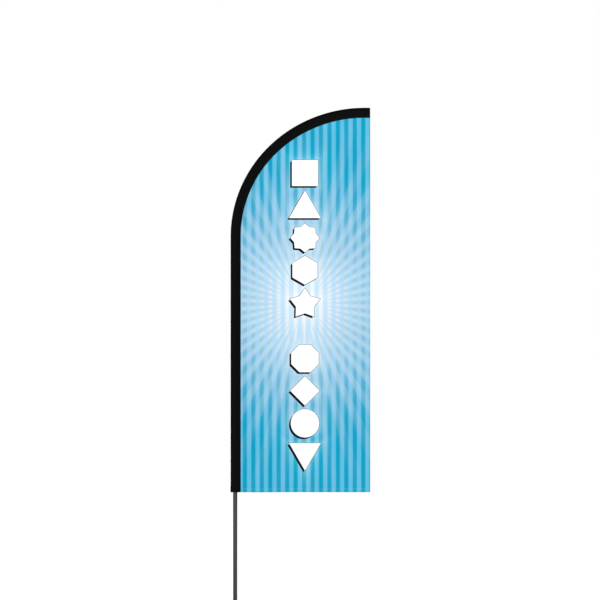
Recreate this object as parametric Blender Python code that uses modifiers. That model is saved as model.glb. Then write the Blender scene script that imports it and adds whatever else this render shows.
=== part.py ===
"""Feather flag on a folding cross base.

A printed cloth panel hangs from a black pole sleeve that runs up the left edge and round the
curved top. The pole comes apart in three sections, drops over a spindle that turns on two ball
bearings, and the spindle stands on a hub with four folding legs.

The origin is on the spindle's axis at floor level. +Z is up, the flag flies towards +X and its
front faces -Y. Lengths are in metres.
"""

import math

import bmesh
import bpy
from mathutils import Matrix, Vector

MM = 0.001
GAP = 0.3 * MM  # space left between neighbouring pieces

# Flag
FLAG_BOTTOM = 620 * MM
FLAG_HEIGHT = 1679 * MM
FLAG_WIDTH = 609.6 * MM
CORNER_ACROSS = 586.2 * MM  # half axes of the quarter ellipse that rounds the top left corner
CORNER_DOWN = 561.5 * MM
SLEEVE_WIDTH = 44 * MM
SLEEVE_CLOTH = 0.7 * MM
SLEEVE_EDGE = 1.5 * MM  # half thickness of the flattened sleeve at its fold and at its seam
PANEL_CLOTH = 0.8 * MM
POLE_INSET = 20.1 * MM  # pole axis in from the sleeve's outer fold
TIP_INSET = 12 * MM
CURVE_STEPS = 20  # shared by the rod, the sleeve and the panel, so that their facets stay parallel

# Pole
POLE_RADIUS = 9.5 * MM
POLE_BORE = 8 * MM
INSERT_RADIUS = 7.7 * MM
INSERT_BORE = 6.2 * MM
INSERT_HALF = 80 * MM  # length of a joint insert in each of the two tubes it joins
LOWER_TOP = 920 * MM
MIDDLE_TOP = 1600 * MM
JOINT_GAP = 0.5 * MM
SOCKET_TOP = 1725 * MM
ROD_START = 1685 * MM
ROD_TIP_RADIUS = 3.5 * MM
PIN_RADIUS = 1.5 * MM
PIN_DEPTH = 40 * MM  # cross pin below the top of the tube that holds the insert
COLLAR_RADIUS = 12.5 * MM
COLLAR_HEIGHT = 38 * MM
TIP_CAP_RADIUS = 6 * MM
TIP_CAP_LENGTH = 20 * MM
TIP_POCKET_CLOTH = 1.1 * MM
TIP_POCKET_LENGTH = 26 * MM

# Hub, from the floor up
PAD_RADIUS = 30 * MM
PAD_HEIGHT = 3 * MM
PLATE_SIDE = 124 * MM
PLATE_CORNER = 16 * MM
PLATE_THICK = 4 * MM
LEG_SIDE = 25 * MM
LEG_WALL = 1.5 * MM
LEG_PLAY = 0.5 * MM
LEG_CORNER = 2 * MM
BOTTOM_PLATE_TOP = PAD_HEIGHT + PLATE_THICK
LEG_BOTTOM = BOTTOM_PLATE_TOP + LEG_PLAY
LEG_TOP = LEG_BOTTOM + LEG_SIDE
TOP_PLATE_BOTTOM = LEG_TOP + LEG_PLAY
TOP_PLATE_TOP = TOP_PLATE_BOTTOM + PLATE_THICK

# Legs
PIVOT = 45 * MM  # each pivot's distance from the axis along X and along Y
LEG_TAIL = 16 * MM
LEG_REACH = 350 * MM
BOOT_SIDE = 31 * MM
BOOT_GRIP = 32 * MM
BOOT_NOSE = 8 * MM
BOOT_TOP = 35.5 * MM
BOLT_RADIUS = 4 * MM
BOLT_HEAD_RADIUS = 8 * MM
BOLT_HEAD = 2.3 * MM
NUT_FLATS = 13 * MM
NUT_HEIGHT = 8 * MM
STOP_ALONG = -15 * MM  # stop pin from its leg's pivot, along the open leg
STOP_RADIUS = 4 * MM
STOP_TENON = 3 * MM

# Spindle and its housing
BEARING_OUTER = 11 * MM
BEARING_INNER = 4 * MM
BEARING_WIDTH = 7 * MM
BALL_RADIUS = 1.65 * MM
BALL_COUNT = 7
RACE_OUTER = 9.6 * MM
RACE_INNER = 5.9 * MM
BALL_CIRCLE = (RACE_OUTER + RACE_INNER) / 2
BARREL_RADIUS = 17 * MM
BARREL_BOTTOM = 17 * MM
BARREL_TOP = 66 * MM
FLANGE_RADIUS = 35 * MM
FLANGE_THICK = 5 * MM
FLANGE_SCREW_CIRCLE = 27 * MM
FLANGE_SCREW_RADIUS = 2.5 * MM
LOWER_SHOULDER = 27 * MM
UPPER_SHOULDER = 57 * MM
SPINDLE_FLANGE_RADIUS = 13 * MM
SPINDLE_FLANGE_BOTTOM = BARREL_TOP + 0.5 * MM
SPINDLE_FLANGE_TOP = 72 * MM
SPINDLE_PIN_RADIUS = 7.75 * MM
SPINDLE_PIN_TOP = 192 * MM
SPINDLE_FOOT = 9 * MM
RING_HEIGHTS = (92 * MM, 172 * MM)
RING_THICK = 0.55 * MM

POLE_FOOT = SPINDLE_FLANGE_TOP + GAP
FLAG_LEFT = -POLE_INSET
FLAG_RIGHT = FLAG_LEFT + FLAG_WIDTH
FLAG_TOP = FLAG_BOTTOM + FLAG_HEIGHT
CURVE_START = FLAG_TOP - CORNER_DOWN
CORNER_CENTRE = FLAG_LEFT + CORNER_ACROSS

# Signs of X and Y of each leg's corner. The rear legs fold back to +Y and the front legs to -Y.
LEGS = {
    "rear_right": (1, 1),
    "rear_left": (-1, 1),
    "front_left": (-1, -1),
    "front_right": (1, -1),
}


# ---- materials ----


def finish(name, colour, roughness, metallic=0.0):
    """The Principled material of this name, made once."""
    if name in bpy.data.materials:
        return bpy.data.materials[name]
    material = bpy.data.materials.new(name)
    material.use_nodes = True
    shader = material.node_tree.nodes["Principled BSDF"]
    shader.inputs["Base Color"].default_value = (*colour, 1)
    shader.inputs["Roughness"].default_value = roughness
    shader.inputs["Metallic"].default_value = metallic
    return material


def printed_cloth():
    return finish("printed_cloth", (0.16, 0.55, 0.74), 0.85)


def black_cloth():
    return finish("black_cloth", (0.006, 0.005, 0.006), 0.9)


def black_tube():
    return finish("black_tube", (0.02, 0.02, 0.022), 0.35, 0.6)


def glass_fibre():
    return finish("glass_fibre", (0.03, 0.03, 0.03), 0.5)


def black_paint():
    return finish("black_paint", (0.015, 0.015, 0.016), 0.45, 0.2)


def bare_steel():
    return finish("bare_steel", (0.55, 0.56, 0.58), 0.3, 1.0)


def zinc_plate():
    return finish("zinc_plate", (0.62, 0.63, 0.62), 0.35, 1.0)


def black_rubber():
    return finish("black_rubber", (0.02, 0.02, 0.02), 0.9)


def black_plastic():
    return finish("black_plastic", (0.02, 0.02, 0.02), 0.5)


# ---- making and joining shapes ----


def new_collection(name):
    made = bpy.data.collections.new(name)
    bpy.context.scene.collection.children.link(made)
    return made


def add_part(name, data, material, location=(0, 0, 0), parent=None):
    """One sub-part. Its data's coordinates are about its location, in its parent's frame."""
    data.materials.clear()
    data.materials.append(material)
    made = bpy.data.objects.new(name, data)
    made.location = location
    made.parent = parent
    PARTS.objects.link(made)
    return made


def add_cutter(name, data, location=(0, 0, 0), parent=None):
    made = bpy.data.objects.new(name, data)
    made.location = location
    made.parent = parent
    made.display_type = "WIRE"
    made.hide_render = True
    CUTTERS.objects.link(made)
    return made


def cut(part, cutter):
    modifier = part.modifiers.new(cutter.name, "BOOLEAN")
    modifier.operation = "DIFFERENCE"
    modifier.object = cutter


def smooth(part, degrees=35):
    part.data.shade_smooth()
    part.data.set_sharp_from_angle(angle=math.radians(degrees))


def mesh_from(name, build):
    """A mesh that build(bm) fills in."""
    data = bpy.data.meshes.new(name)
    bm = bmesh.new()
    build(bm)
    bmesh.ops.recalc_face_normals(bm, faces=bm.faces)
    bm.to_mesh(data)
    bm.free()
    return data


def block(name, low, high):
    """A box between two corners."""
    size = Vector(high) - Vector(low)
    place = Matrix.Translation((Vector(high) + Vector(low)) / 2) @ Matrix.Diagonal((*size, 1))
    return mesh_from(name, lambda bm: bmesh.ops.create_cube(bm, size=1, matrix=place))


def rods(name, centres, radius, bottom, top, sides=16, turn=0.0):
    """Upright cylinders, or hexagonal bars with 6 sides, as one mesh."""

    def build(bm):
        for x, y in centres:
            bmesh.ops.create_cone(
                bm,
                cap_ends=True,
                segments=sides,
                radius1=radius,
                radius2=radius,
                depth=top - bottom,
                matrix=Matrix.Translation((x, y, (top + bottom) / 2)) @ Matrix.Rotation(turn, 4, "Z"),
            )

    return mesh_from(name, build)


def turned(name, profile, material, location=(0, 0, 0), closed=False, steps=20):
    """A lathe shape about +Z. The profile's (radius, height) points run down its outer side."""
    data = bpy.data.meshes.new(name)
    edges = [(i, i + 1) for i in range(len(profile) - 1)]
    if closed:
        edges.append((len(profile) - 1, 0))
    data.from_pydata([(radius, 0, height) for radius, height in profile], edges, [])
    part = add_part(name, data, material, location)
    screw = part.modifiers.new("turn", "SCREW")
    screw.steps = steps
    screw.render_steps = steps
    screw.use_merge_vertices = True
    screw.merge_threshold = 0.00001
    screw.use_smooth_shade = True
    return part


def ring_profile(inner, outer, bottom, top, chamfer=0.0):
    """A closed ring section with its outer corners chamfered."""
    return [
        (inner, top),
        *([(outer - chamfer, top), (outer, top - chamfer)] if chamfer else [(outer, top)]),
        *([(outer, bottom + chamfer), (outer - chamfer, bottom)] if chamfer else [(outer, bottom)]),
        (inner, bottom),
    ]


def flat_plate(name, outlines, thickness, material, location, tilt=(0, 0, 0)):
    """A plate from closed outlines, the first its edge and the rest its holes."""
    curve = bpy.data.curves.new(name, "CURVE")
    curve.dimensions = "2D"
    curve.fill_mode = "BOTH"
    curve.extrude = thickness / 2
    for outline in outlines:
        spline = curve.splines.new("POLY")
        spline.points.add(len(outline) - 1)
        for point, (x, y) in zip(spline.points, outline):
            point.co = (x, y, 0, 1)
        spline.use_cyclic_u = True
    part = add_part(name, curve, material, location)
    part.rotation_euler = tilt
    return part


def circle(radius, centre=(0, 0), count=16):
    angles = [2 * math.pi * i / count for i in range(count)]
    return [(centre[0] + radius * math.cos(a), centre[1] + radius * math.sin(a)) for a in angles]


def rounded_square(side, corner, per_corner=4):
    """Outline of a square with round corners, anticlockwise."""
    reach = side / 2 - corner
    outline = []
    for quarter, (sx, sy) in enumerate(((1, 1), (-1, 1), (-1, -1), (1, -1))):
        for step in range(per_corner):
            angle = math.pi / 2 * (quarter + step / (per_corner - 1))
            outline.append(
                (sx * reach + corner * math.cos(angle), sy * reach + corner * math.sin(angle))
            )
    return outline


# ---- hub ----


def stop_places():
    """Each stop pin's centre: beside its leg's tail, on the side that the leg folds to."""
    along = STOP_ALONG / math.sqrt(2)
    across = (LEG_SIDE / 2 + STOP_RADIUS + GAP) / math.sqrt(2)
    return {
        name: (sx * (PIVOT + along - across), sy * (PIVOT + along + across))
        for name, (sx, sy) in LEGS.items()
    }


def pivot_places():
    return {name: (sx * PIVOT, sy * PIVOT) for name, (sx, sy) in LEGS.items()}


def screw_places():
    """The housing's flange screws, on the hub's X and Y axes."""
    return circle(FLANGE_SCREW_CIRCLE, count=4)


def make_hub_plates():
    """Two square plates: the legs fold between them, and the housing stands in the upper one."""
    edge = rounded_square(PLATE_SIDE, PLATE_CORNER)
    shared = [circle(BOLT_RADIUS + GAP, place) for place in pivot_places().values()]
    shared += [circle(STOP_TENON + GAP, place, 12) for place in stop_places().values()]
    barrel_hole = [circle(BARREL_RADIUS + GAP, count=24)]
    barrel_hole += [circle(FLANGE_SCREW_RADIUS + GAP, place, 12) for place in screw_places()]
    middle = PLATE_THICK / 2
    flat_plate(
        "hub_bottom_plate", [edge] + shared, PLATE_THICK, black_paint(), (0, 0, PAD_HEIGHT + middle)
    )
    flat_plate(
        "hub_top_plate",
        [edge] + shared + barrel_hole,
        PLATE_THICK,
        black_paint(),
        (0, 0, TOP_PLATE_BOTTOM + middle),
    )


def make_hub_pad():
    """The rubber pad that the hub stands on. Its underside is the object's origin."""
    top = PAD_HEIGHT - GAP
    profile = [(0, top), (PAD_RADIUS - MM, top), (PAD_RADIUS, 1 * MM), (PAD_RADIUS - MM, 0), (0, 0)]
    turned("hub_pad", profile, black_rubber(), steps=24)


def make_stop_pins():
    """Spacers riveted into both plates. An open leg's tail rests against one."""
    profile = [
        (0, TOP_PLATE_TOP - GAP),
        (STOP_TENON, TOP_PLATE_TOP - GAP),
        (STOP_TENON, TOP_PLATE_BOTTOM - GAP),
        (STOP_RADIUS, TOP_PLATE_BOTTOM - GAP),
        (STOP_RADIUS, BOTTOM_PLATE_TOP + GAP),
        (STOP_TENON, BOTTOM_PLATE_TOP + GAP),
        (STOP_TENON, PAD_HEIGHT + GAP),
        (0, PAD_HEIGHT + GAP),
    ]
    for name, (x, y) in stop_places().items():
        turned("stop_pin_" + name, profile, zinc_plate(), (x, y, 0), steps=12)


def make_pivot_bolts():
    """A thin-headed bolt up through both plates and the leg, with a lock nut on top."""
    head_bottom = PAD_HEIGHT - GAP - BOLT_HEAD
    nut_bottom = TOP_PLATE_TOP + GAP
    bolt_top = nut_bottom + NUT_HEIGHT + 2 * MM
    bolt = [
        (0, bolt_top),
        (BOLT_RADIUS - 0.8 * MM, bolt_top),
        (BOLT_RADIUS, bolt_top - 0.8 * MM),
        (BOLT_RADIUS, PAD_HEIGHT - GAP),
        (BOLT_HEAD_RADIUS, PAD_HEIGHT - GAP),
        (BOLT_HEAD_RADIUS - 1 * MM, head_bottom),
        (0, head_bottom),
    ]
    for name, (x, y) in pivot_places().items():
        turned("pivot_bolt_" + name, bolt, zinc_plate(), (x, y, 0), steps=16)
        make_nut("pivot_nut_" + name, (x, y, nut_bottom))


def make_nut(name, location):
    """A lock nut with a plain bore and a domed collar, standing on its location."""
    corner = NUT_FLATS / math.sqrt(3)
    collar_start = NUT_HEIGHT * 0.72
    hexagon = rods(name, [(0, 0)], corner, 0, collar_start, sides=6, turn=math.pi / 6)
    nut = add_part(name, hexagon, zinc_plate(), location)
    collar = add_cutter(
        name + "_collar",
        rods(name + "_collar", [(0, 0)], NUT_FLATS * 0.44, collar_start - MM, NUT_HEIGHT),
        location,
    )
    join = nut.modifiers.new("collar", "BOOLEAN")
    join.operation = "UNION"
    join.object = collar
    bore = rods(name + "_bore", [(0, 0)], BOLT_RADIUS + GAP, -MM, NUT_HEIGHT + MM)
    cut(nut, add_cutter(name + "_bore", bore, location))


# ---- legs ----


def make_legs():
    for name, (sx, sy) in LEGS.items():
        pivot = bpy.data.objects.new("pivot_of_leg_" + name, None)
        pivot.empty_display_size = 0.05
        pivot.location = (sx * PIVOT, sy * PIVOT, 0)
        pivot.rotation_euler = (0, 0, math.atan2(sy, sx))
        PARTS.objects.link(pivot)
        make_leg_tube(name, pivot)
        make_boot(name, pivot)


def make_leg_tube(name, pivot):
    """Square steel tube, open at both ends, pierced for its pivot bolt."""

    def build(bm):
        low = Vector((-LEG_TAIL, -LEG_SIDE / 2, LEG_BOTTOM))
        high = Vector((LEG_REACH, LEG_SIDE / 2, LEG_TOP))
        place = Matrix.Translation((low + high) / 2) @ Matrix.Diagonal((*(high - low), 1))
        bmesh.ops.create_cube(bm, size=1, matrix=place)
        ends = [face for face in bm.faces if abs(face.normal.x) > 0.9]
        bmesh.ops.delete(bm, geom=ends, context="FACES_ONLY")

    leg = add_part("leg_" + name, mesh_from("leg_" + name, build), black_paint(), parent=pivot)
    edges = leg.modifiers.new("round_edges", "BEVEL")
    edges.width = LEG_CORNER
    edges.segments = 2
    wall = leg.modifiers.new("wall", "SOLIDIFY")
    wall.thickness = LEG_WALL
    wall.offset = -1
    wall.use_even_offset = True
    hole = rods("hole_of_leg_" + name, [(0, 0)], BOLT_RADIUS + GAP, 0, LEG_TOP + 5 * MM)
    cut(leg, add_cutter("hole_of_leg_" + name, hole, parent=pivot))
    smooth(leg)


def make_boot(name, pivot):
    """Rubber boot over the leg's end. It stands on the floor."""
    half = BOOT_SIDE / 2
    outside = block(
        "boot_" + name, (LEG_REACH - BOOT_GRIP, -half, 0), (LEG_REACH + BOOT_NOSE, half, BOOT_TOP)
    )
    boot = add_part("boot_" + name, outside, black_rubber(), parent=pivot)
    edges = boot.modifiers.new("round_edges", "BEVEL")
    edges.width = 3 * MM
    edges.segments = 2
    pocket_half = LEG_SIDE / 2 + GAP
    pocket = block(
        "pocket_of_boot_" + name,
        (LEG_REACH - BOOT_GRIP - 5 * MM, -pocket_half, LEG_BOTTOM - GAP),
        (LEG_REACH + GAP, pocket_half, LEG_TOP + GAP),
    )
    cut(boot, add_cutter("pocket_of_boot_" + name, pocket, parent=pivot))
    smooth(boot)


# ---- spindle ----


def make_housing():
    """Flanged barrel in the top plate, with a bearing seat at each end."""
    seat = BEARING_OUTER + GAP
    rib = BEARING_OUTER - 2 * MM
    flange_bottom = TOP_PLATE_TOP + GAP
    flange_top = flange_bottom + FLANGE_THICK
    housing = turned(
        "spindle_housing",
        [
            (seat, BARREL_TOP),
            (BARREL_RADIUS - MM, BARREL_TOP),
            (BARREL_RADIUS, BARREL_TOP - MM),
            (BARREL_RADIUS, flange_top),
            (FLANGE_RADIUS, flange_top),
            (FLANGE_RADIUS, flange_bottom),
            (BARREL_RADIUS, flange_bottom),
            (BARREL_RADIUS, BARREL_BOTTOM),
            (seat, BARREL_BOTTOM),
            (seat, LOWER_SHOULDER),
            (rib, LOWER_SHOULDER),
            (rib, UPPER_SHOULDER),
            (seat, UPPER_SHOULDER),
        ],
        black_paint(),
        closed=True,
        steps=24,
    )
    holes = rods(
        "flange_holes",
        screw_places(),
        FLANGE_SCREW_RADIUS + GAP,
        flange_bottom - MM,
        flange_top + MM,
        sides=12,
    )
    cut(housing, add_cutter("flange_holes", holes))
    make_flange_screws(flange_top)


def make_flange_screws(flange_top):
    """Button-head screws into the top plate."""
    head = 2.8 * MM
    seat = flange_top + GAP
    profile = [
        (0, seat + head),
        (2.4 * MM, seat + head),
        (4.0 * MM, seat + head * 0.6),
        (4.6 * MM, seat),
        (FLANGE_SCREW_RADIUS, seat),
        (FLANGE_SCREW_RADIUS, TOP_PLATE_BOTTOM + GAP),
        (0, TOP_PLATE_BOTTOM + GAP),
    ]
    for number, (x, y) in enumerate(screw_places(), start=1):
        turned(f"flange_screw_{number}", profile, zinc_plate(), (x, y, 0), steps=12)


def make_bearing(name, bottom):
    """A deep-groove ball bearing as two rings and the balls in their cage."""
    top = bottom + BEARING_WIDTH
    chamfer = 0.4 * MM
    outer = ring_profile(RACE_OUTER, BEARING_OUTER, bottom, top, chamfer)
    inner = ring_profile(BEARING_INNER + GAP, RACE_INNER, bottom, top)
    turned(name + "_outer_ring", outer, bare_steel(), closed=True)
    turned(name + "_inner_ring", inner, bare_steel(), closed=True)
    middle = (bottom + top) / 2
    hoop = ring_profile(
        BALL_CIRCLE - 0.5 * MM, BALL_CIRCLE + 0.5 * MM, middle - 0.7 * MM, middle + 0.7 * MM
    )
    cage = turned(name + "_balls", hoop, bare_steel(), closed=True, steps=21)

    def build(bm):
        for x, y in circle(BALL_CIRCLE, count=BALL_COUNT):
            place = Matrix.Translation((x, y, middle))
            bmesh.ops.create_uvsphere(bm, u_segments=8, v_segments=5, radius=BALL_RADIUS, matrix=place)

    balls = add_cutter(name + "_ball_set", mesh_from(name + "_ball_set", build))
    join = cage.modifiers.new("balls", "BOOLEAN")
    join.operation = "UNION"
    join.object = balls


def make_spindle():
    """One turned shaft: threaded foot, bearing journal, flange and the pin that the pole slips over."""
    groove_floor = SPINDLE_PIN_RADIUS - 2 * RING_THICK - 0.1 * MM
    groove_half = RING_THICK + 0.25 * MM
    boss = BEARING_INNER + 1.8 * MM
    boss_bottom = UPPER_SHOULDER + GAP + BEARING_WIDTH + GAP
    profile = [
        (0, SPINDLE_PIN_TOP),
        (SPINDLE_PIN_RADIUS - 2 * MM, SPINDLE_PIN_TOP),
        (SPINDLE_PIN_RADIUS, SPINDLE_PIN_TOP - 3 * MM),
    ]
    for height in sorted(RING_HEIGHTS, reverse=True):
        profile += [
            (SPINDLE_PIN_RADIUS, height + groove_half),
            (groove_floor, height + groove_half),
            (groove_floor, height - groove_half),
            (SPINDLE_PIN_RADIUS, height - groove_half),
        ]
    profile += [
        (SPINDLE_PIN_RADIUS, SPINDLE_FLANGE_TOP),
        (SPINDLE_FLANGE_RADIUS, SPINDLE_FLANGE_TOP),
        (SPINDLE_FLANGE_RADIUS, SPINDLE_FLANGE_BOTTOM),
        (boss, SPINDLE_FLANGE_BOTTOM),
        (boss, boss_bottom),
        (BEARING_INNER, boss_bottom),
        (BEARING_INNER, SPINDLE_FOOT),
        (0, SPINDLE_FOOT),
    ]
    turned("spindle", profile, zinc_plate())
    for number, height in enumerate(RING_HEIGHTS, start=1):
        make_grip_ring(f"grip_ring_{number}", height, groove_floor)


def make_grip_ring(name, height, groove_floor):
    """Rubber ring in the pin's groove, which stops the pole rattling."""

    def build(bm):
        hoop = groove_floor + 0.05 * MM + RING_THICK
        places = [2 * math.pi * i / 20 for i in range(20)]
        rows = []
        for angle in places:
            row = []
            for step in range(5):
                turn = 2 * math.pi * step / 5
                radius = hoop + RING_THICK * math.cos(turn)
                z = RING_THICK * math.sin(turn)
                row.append(bm.verts.new((radius * math.cos(angle), radius * math.sin(angle), z)))
            rows.append(row)
        join_rows(bm, rows, wrap=True)

    ring = add_part(name, mesh_from(name, build), black_rubber(), (0, 0, height))
    smooth(ring, 60)


def join_rows(bm, rows, wrap=False):
    """Quads between neighbouring closed loops of vertices."""
    pairs = list(zip(rows, rows[1:]))
    if wrap:
        pairs.append((rows[-1], rows[0]))
    for first, second in pairs:
        count = len(first)
        for i in range(count):
            j = (i + 1) % count
            bm.faces.new((first[i], first[j], second[j], second[i]))


def make_spindle_stack():
    """What sits on the spindle's journal, from the lock nut up."""
    lower_top = LOWER_SHOULDER - GAP
    lower_bottom = lower_top - BEARING_WIDTH
    make_bearing("lower_bearing", lower_bottom)
    make_bearing("upper_bearing", UPPER_SHOULDER + GAP)
    journal = BEARING_INNER + GAP
    spacer = ring_profile(journal, RACE_INNER, lower_top + GAP, UPPER_SHOULDER)
    turned("bearing_spacer", spacer, bare_steel(), closed=True)
    washer_top = lower_bottom - GAP
    washer_bottom = washer_top - 1.4 * MM
    washer = ring_profile(journal, 7.8 * MM, washer_bottom, washer_top)
    turned("spindle_washer", washer, zinc_plate(), closed=True)
    make_nut("spindle_nut", (0, 0, washer_bottom - GAP - NUT_HEIGHT))


# ---- pole ----


def tube(name, bottom, top, outer=POLE_RADIUS, bore=POLE_BORE, material=None):
    profile = ring_profile(bore, outer, bottom, top, 0.4 * MM)
    return turned(name, profile, material or black_tube(), closed=True)


def pin_hole(part, height):
    """A hole for the cross pin, through the back wall only."""
    hole = rods("pin_hole_" + part.name, [(0, 0)], PIN_RADIUS + GAP, 0, 2 * POLE_RADIUS, sides=12)
    cutter = add_cutter("pin_hole_" + part.name, hole, (0, 0, height))
    cutter.rotation_euler = (-math.pi / 2, 0, 0)
    cut(part, cutter)


def make_joint(name, tube_part, tube_top):
    """An insert fixed in the top of a tube by a flush cross pin. The next tube slips over it."""
    insert = tube(
        name + "_joint_insert",
        tube_top - INSERT_HALF,
        tube_top + INSERT_HALF,
        INSERT_RADIUS,
        INSERT_BORE,
        bare_steel(),
    )
    height = tube_top - PIN_DEPTH
    pin_hole(tube_part, height)
    pin_hole(insert, height)
    pin_name = name + "_joint_pin"
    shank = rods(pin_name, [(0, 0)], PIN_RADIUS, INSERT_BORE - GAP, POLE_RADIUS - GAP, sides=12)
    pin = add_part(pin_name, shank, zinc_plate(), (0, 0, height))
    pin.rotation_euler = (-math.pi / 2, 0, 0)


def make_pole():
    lower = tube("lower_pole_tube", POLE_FOOT, LOWER_TOP)
    middle = tube("middle_pole_tube", LOWER_TOP + JOINT_GAP, MIDDLE_TOP)
    make_joint("lower", lower, LOWER_TOP)
    make_joint("upper", middle, MIDDLE_TOP)
    tube("rod_socket", MIDDLE_TOP + JOINT_GAP, SOCKET_TOP)
    collar = ring_profile(POLE_RADIUS + GAP, COLLAR_RADIUS, POLE_FOOT, POLE_FOOT + COLLAR_HEIGHT, 2 * MM)
    turned("pole_collar", collar, black_plastic(), closed=True)
    make_curved_rod()


def eased(t):
    """0 to 1 with a level start and end."""
    return t * t * (3 - 2 * t)


def edge_point(t, inset):
    """A point inset from the curved outer edge, for t from 0 at its start to 1 at the top."""
    angle = math.pi * (1 - t / 2)
    x = CORNER_CENTRE + CORNER_ACROSS * math.cos(angle)
    z = CURVE_START + CORNER_DOWN * math.sin(angle)
    inward = -Vector((math.cos(angle) / CORNER_ACROSS, math.sin(angle) / CORNER_DOWN)).normalized()
    return x + inset * inward.x, z + inset * inward.y


def rod_inset(t):
    """The rod bends out towards the sleeve's fold as it nears its tip."""
    return POLE_INSET + (TIP_INSET - POLE_INSET) * eased(t)


def rod_end():
    """Where the rod ends: X and Z."""
    return FLAG_RIGHT - 9.5 * MM, FLAG_TOP - TIP_INSET


def make_curved_rod():
    """Tapered glass-fibre rod, glued into its socket and bent by the sleeve."""
    places = [(0, ROD_START), (0, SOCKET_TOP)]
    stations = [i / CURVE_STEPS for i in range(CURVE_STEPS + 1)]
    places += [edge_point(t, rod_inset(t)) for t in stations]
    places.append(rod_end())
    curve = bpy.data.curves.new("curved_rod", "CURVE")
    curve.dimensions = "3D"
    curve.bevel_depth = INSERT_RADIUS
    curve.bevel_resolution = 3
    curve.use_fill_caps = True
    spline = curve.splines.new("POLY")
    spline.points.add(len(places) - 1)
    for number, (x, z) in enumerate(places):
        taper = max(0, number - 1) / (len(places) - 2)
        spline.points[number].co = (x, 0, z, 1)
        spline.points[number].radius = 1 + (ROD_TIP_RADIUS / INSERT_RADIUS - 1) * taper
    add_part("curved_rod", curve, glass_fibre())
    make_tip_cap()


def make_tip_cap():
    """Round plastic cap on the rod's end, and the doubled pocket in the sleeve that it pushes into."""
    x, z = rod_end()
    bore = ROD_TIP_RADIUS + 0.5 * MM
    nose = 6.2 * MM  # cap past the rod's end
    root = nose - TIP_CAP_LENGTH
    cap = [
        (0, nose),
        (TIP_CAP_RADIUS * 0.55, nose - 0.6 * MM),
        (TIP_CAP_RADIUS * 0.88, nose - 2.4 * MM),
        (TIP_CAP_RADIUS, nose - 5 * MM),
        (TIP_CAP_RADIUS, root),
        (bore, root),
        (bore, GAP),
        (0, GAP),
    ]
    part = turned("tip_cap", cap, black_plastic(), (x, 0, z), steps=16)
    part.rotation_euler = (0, math.pi / 2, 0)
    inner = TIP_CAP_RADIUS + GAP
    outer = inner + TIP_POCKET_CLOTH
    closed_end = nose + GAP
    mouth = closed_end + TIP_POCKET_CLOTH - TIP_POCKET_LENGTH
    pocket = [
        (0, closed_end + TIP_POCKET_CLOTH),
        (outer - MM, closed_end + TIP_POCKET_CLOTH),
        (outer, closed_end),
        (outer, mouth),
        (inner, mouth),
        (inner, closed_end),
        (0, closed_end),
    ]
    part = turned("tip_pocket", pocket, black_cloth(), (x, 0, z), steps=16)
    part.rotation_euler = (0, math.pi / 2, 0)


# ---- flag ----


def make_flag_panel():
    """The printed cloth: straight hems right and below, and the sleeve's seam for its other edge."""
    inset = SLEEVE_WIDTH + GAP
    outline = [(FLAG_LEFT + inset, FLAG_BOTTOM), (FLAG_RIGHT, FLAG_BOTTOM)]
    outline.append((FLAG_RIGHT, FLAG_TOP - inset))
    outline += [edge_point(i / CURVE_STEPS, inset) for i in range(CURVE_STEPS, -1, -1)]
    flat_plate("flag_panel", [outline], PANEL_CLOTH, printed_cloth(), (0, 0, 0), (math.pi / 2, 0, 0))


def sleeve_section(inset, fullness, shrink):
    """(inset, side) points round the sleeve's section, from its fold to its seam and back."""
    steps = 7
    half = []
    for step in range(steps):
        u = shrink * 1.4 + (SLEEVE_WIDTH - shrink * 2.8) * step / (steps - 1)
        if u < inset:
            bulge = math.sin(math.pi / 2 * u / inset) ** 1.2
        else:
            bulge = max(0, math.cos(math.pi / 2 * (u - inset) / (SLEEVE_WIDTH - inset))) ** 1.5
        half.append((u, SLEEVE_EDGE + (fullness - SLEEVE_EDGE) * bulge - shrink))
    return half + [(u, -v) for u, v in reversed(half)]


def sleeve_loops(shrink):
    """Closed loops of points along the sleeve, from its mouth to its sewn end."""
    full_at_pole = 11 * MM
    full_at_tip = 9.2 * MM
    loops = []
    section = sleeve_section(POLE_INSET, full_at_pole, shrink)
    loops.append([(FLAG_LEFT + u, v, FLAG_BOTTOM) for u, v in section])
    for step in range(CURVE_STEPS + 1):
        t = step / CURVE_STEPS
        fullness = full_at_pole + (full_at_tip - full_at_pole) * eased(t)
        loop = []
        for u, v in sleeve_section(rod_inset(t), fullness, shrink):
            x, z = edge_point(t, u)
            loop.append((x, v, z))
        loops.append(loop)
    section = sleeve_section(TIP_INSET, full_at_tip, shrink)
    loops.append([(FLAG_RIGHT - shrink, v, FLAG_TOP - u) for u, v in section])
    return loops


def make_pole_sleeve():
    """Black sleeve, folded over the pole and sewn to the panel, open below and closed at the tip."""

    def build(bm):
        outside = [[bm.verts.new(p) for p in loop] for loop in sleeve_loops(0)]
        inside = [[bm.verts.new(p) for p in loop] for loop in sleeve_loops(SLEEVE_CLOTH)]
        join_rows(bm, outside)
        join_rows(bm, inside)
        join_rows(bm, [outside[0], inside[0]])
        for loop in (outside[-1], inside[-1]):
            half = len(loop) // 2
            for i in range(half - 1):
                j = len(loop) - 1 - i
                bm.faces.new((loop[i], loop[i + 1], loop[j - 1], loop[j]))

    sleeve = add_part("pole_sleeve", mesh_from("pole_sleeve", build), black_cloth())
    smooth(sleeve)


def main():
    make_hub_plates()
    make_hub_pad()
    make_stop_pins()
    make_pivot_bolts()
    make_legs()
    make_housing()
    make_spindle()
    make_spindle_stack()
    make_pole()
    make_flag_panel()
    make_pole_sleeve()


for leftover in list(bpy.data.objects):
    bpy.data.objects.remove(leftover)
PARTS = new_collection("feather_flag")
CUTTERS = new_collection("cutters")
main()
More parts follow.
